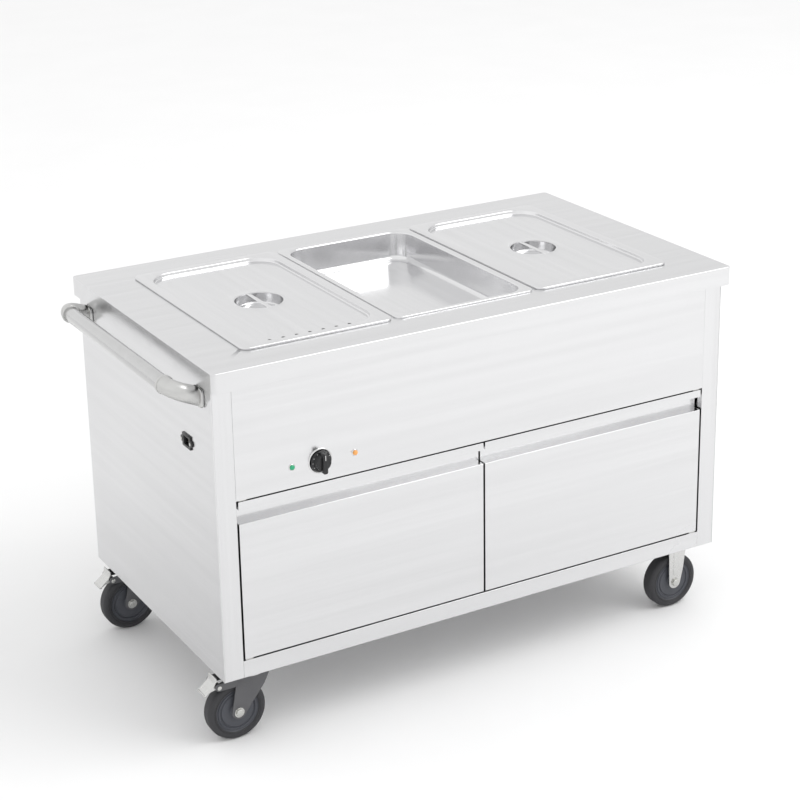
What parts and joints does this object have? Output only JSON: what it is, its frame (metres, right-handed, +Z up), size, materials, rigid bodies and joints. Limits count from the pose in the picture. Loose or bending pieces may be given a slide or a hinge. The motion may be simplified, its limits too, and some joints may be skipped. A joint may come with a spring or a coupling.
{
  "type": "steam table",
  "caption": "Wheeled stainless steam table: a worktop with pans over a heated water bath, a cupboard with double doors, a push handle and casters.",
  "frame": {"origin": "on the floor, at the middle of the overall box", "axes": "+X along the length, away from the push handle; -Y is the side with the controls and doors; +Z up"},
  "size_m": [1.2664, 0.7, 0.8047],
  "materials": {
    "satin_steel": "fine brushed stainless sheet",
    "bright_steel": "bright pressed stainless",
    "handle_steel": "polished stainless tube",
    "cast_metal": "satin cast bracket",
    "mineral_wool": "fibrous blanket",
    "element_alloy": "dull sheathed element",
    "dark_moulding": "matt moulding",
    "black_moulding": "satin black moulding",
    "copper": "drawn copper",
    "green_lens": "translucent green",
    "amber_lens": "translucent amber",
    "bright_trim": "bright ring",
    "brass": "machined brass",
    "zinc_fastener": "zinc plated",
    "lever_coating": "dipped red grip",
    "zinc_plate": "zinc plated pressing",
    "grey_fork": "grey stamped steel",
    "tyre_rubber": "grey black rubber",
    "hub_moulding": "blue grey moulding"
  },
  "bodies": {
    "left_door": {"left_door": "satin_steel"},
    "right_door": {"right_door": "satin_steel"},
    "knob": {"knob": "black_moulding"},
    "drain_lever": {"drain_lever": "lever_coating"},
    "left_pan": {"left_pan": "bright_steel"},
    "middle_pan": {"middle_pan": "bright_steel"},
    "right_pan": {"right_pan": "bright_steel"},
    "left_lid": {"left_lid": "bright_steel"},
    "right_lid": {"right_lid": "bright_steel"},
    "front_swivel": {"front_swivel_fork": "grey_fork", "front_swivel_pins": "zinc_fastener"},
    "front_pedal": {"front_brake_pedal": "zinc_plate"},
    "front_left_wheel": {"front_left_hub": "hub_moulding", "front_left_tyre": "tyre_rubber"},
    "front_right_wheel": {"front_right_hub": "hub_moulding", "front_right_tyre": "tyre_rubber"},
    "rear_swivel": {"rear_swivel_fork": "grey_fork", "rear_swivel_pins": "zinc_fastener"},
    "rear_pedal": {"rear_brake_pedal": "zinc_plate"},
    "rear_left_wheel": {"rear_left_hub": "hub_moulding", "rear_left_tyre": "tyre_rubber"},
    "rear_right_wheel": {"rear_right_hub": "hub_moulding", "rear_right_tyre": "tyre_rubber"},
    "cabinet": {"back_panel": "satin_steel", "caster_bolts": "zinc_fastener", "control_panel": "satin_steel", "cross_members": "satin_steel", "cupboard_ceiling": "satin_steel", "cupboard_floor": "satin_steel", "door_catches": "dark_moulding", "door_hinges": "zinc_fastener", "drain_outlet": "satin_steel", "drain_pipe": "satin_steel", "drain_valve": "brass", "fixed_axles": "zinc_fastener", "fixed_brackets": "zinc_plate", "front_elbow": "cast_metal", "front_rail": "satin_steel", "handle_tube": "handle_steel", "heating_element": "element_alloy", "heating_lamp_lens": "green_lens", "inlet_pins": "brass", "inlet_screws": "zinc_fastener", "knob_bezel": "bright_trim", "lamp_holders": "dark_moulding", "left_post": "satin_steel", "left_side_panel": "satin_steel", "power_inlet": "black_moulding", "power_lamp_lens": "amber_lens", "rear_elbow": "cast_metal", "rear_rail": "satin_steel", "right_post": "satin_steel", "right_side_panel": "satin_steel", "swivel_plates": "zinc_plate", "tank_insulation": "mineral_wool", "terminal_block": "dark_moulding", "thermostat": "dark_moulding", "thermostat_bulb": "copper", "water_tank": "satin_steel", "worktop": "satin_steel"}
  },
  "joints": [
    {"name": "left_door_hinge", "type": "hinge", "parent": "cabinet", "child": "left_door", "pos_m": [-0.50475, -0.318, 0.19], "axis": [0, 0, -1], "range_deg": [0, 110]},
    {"name": "right_door_hinge", "type": "hinge", "parent": "cabinet", "child": "right_door", "pos_m": [0.57125, -0.318, 0.19], "axis": [0, 0, 1], "range_deg": [0, 110]},
    {"name": "knob_turn", "type": "hinge", "parent": "cabinet", "child": "knob", "pos_m": [-0.33875, -0.326, 0.571], "axis": [0, 1, 0], "range_deg": [0, 270]},
    {"name": "drain_lever_turn", "type": "hinge", "parent": "cabinet", "child": "drain_lever", "pos_m": [0.43475, 0.148, 0.423], "axis": [0, -1, 0], "range_deg": [0, 90]},
    {"name": "left_pan_lift", "type": "slide", "parent": "cabinet", "child": "left_pan", "axis": [0, 0, 1], "range_m": [0, 0.12]},
    {"name": "middle_pan_lift", "type": "slide", "parent": "cabinet", "child": "middle_pan", "axis": [0, 0, 1], "range_m": [0, 0.12]},
    {"name": "right_pan_lift", "type": "slide", "parent": "cabinet", "child": "right_pan", "axis": [0, 0, 1], "range_m": [0, 0.12]},
    {"name": "left_lid_lift", "type": "slide", "parent": "left_pan", "child": "left_lid", "axis": [0, 0, 1], "range_m": [0, 0.08]},
    {"name": "right_lid_lift", "type": "slide", "parent": "right_pan", "child": "right_lid", "axis": [0, 0, 1], "range_m": [0, 0.08]},
    {"name": "front_swivel_turn", "type": "hinge", "parent": "cabinet", "child": "front_swivel", "pos_m": [-0.48575, -0.272, 0.14], "axis": [0, 0, 1], "continuous": true},
    {"name": "front_left_wheel_roll", "type": "hinge", "parent": "front_swivel", "child": "front_left_wheel", "pos_m": [-0.51875, -0.272, 0.0625], "axis": [0, 1, 0], "continuous": true},
    {"name": "front_right_wheel_roll", "type": "hinge", "parent": "cabinet", "child": "front_right_wheel", "pos_m": [0.55225, -0.272, 0.0625], "axis": [0, 1, 0], "continuous": true},
    {"name": "front_pedal_press", "type": "hinge", "parent": "front_swivel", "child": "front_pedal", "pos_m": [-0.55875, -0.272, 0.128], "axis": [0, -1, 0], "range_deg": [0, 14]},
    {"name": "rear_swivel_turn", "type": "hinge", "parent": "cabinet", "child": "rear_swivel", "pos_m": [-0.48575, 0.272, 0.14], "axis": [0, 0, 1], "continuous": true},
    {"name": "rear_left_wheel_roll", "type": "hinge", "parent": "rear_swivel", "child": "rear_left_wheel", "pos_m": [-0.51875, 0.272, 0.0625], "axis": [0, 1, 0], "continuous": true},
    {"name": "rear_right_wheel_roll", "type": "hinge", "parent": "cabinet", "child": "rear_right_wheel", "pos_m": [0.55225, 0.272, 0.0625], "axis": [0, 1, 0], "continuous": true},
    {"name": "rear_pedal_press", "type": "hinge", "parent": "rear_swivel", "child": "rear_pedal", "pos_m": [-0.55875, 0.272, 0.128], "axis": [0, -1, 0], "range_deg": [0, 14]}
  ]
}
